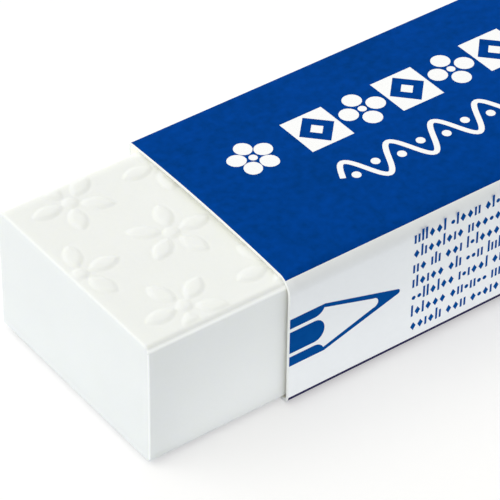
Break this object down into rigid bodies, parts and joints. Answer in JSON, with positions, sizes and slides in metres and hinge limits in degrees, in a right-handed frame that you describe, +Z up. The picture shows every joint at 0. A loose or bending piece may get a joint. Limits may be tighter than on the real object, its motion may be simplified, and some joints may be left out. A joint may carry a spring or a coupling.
{
  "type": "block eraser with card sleeve",
  "caption": "White block eraser with a raised rosette pattern on top, in a blue and white folded card sleeve that slides along it.",
  "frame": {"origin": "middle of the footprint, on the surface that the sleeve lies on", "axes": "+X along the block, from its bare end to its covered end; +Z up, out of the top that carries the rosettes; the white side with the pencil symbol faces -Y"},
  "size_m": [0.065, 0.0246, 0.0143],
  "materials": {
    "white_vinyl": "matte, soft white plasticised vinyl",
    "printed_card": "satin varnished card, blue top and bottom, white sides"
  },
  "bodies": {
    "block": {"eraser_block": "white_vinyl"},
    "sleeve": {"sleeve": "printed_card"}
  },
  "joints": [
    {"name": "sleeve_slide", "type": "slide", "parent": "block", "child": "sleeve", "axis": [1, 0, 0], "range_m": [-0.0144, 0.051]}
  ]
}
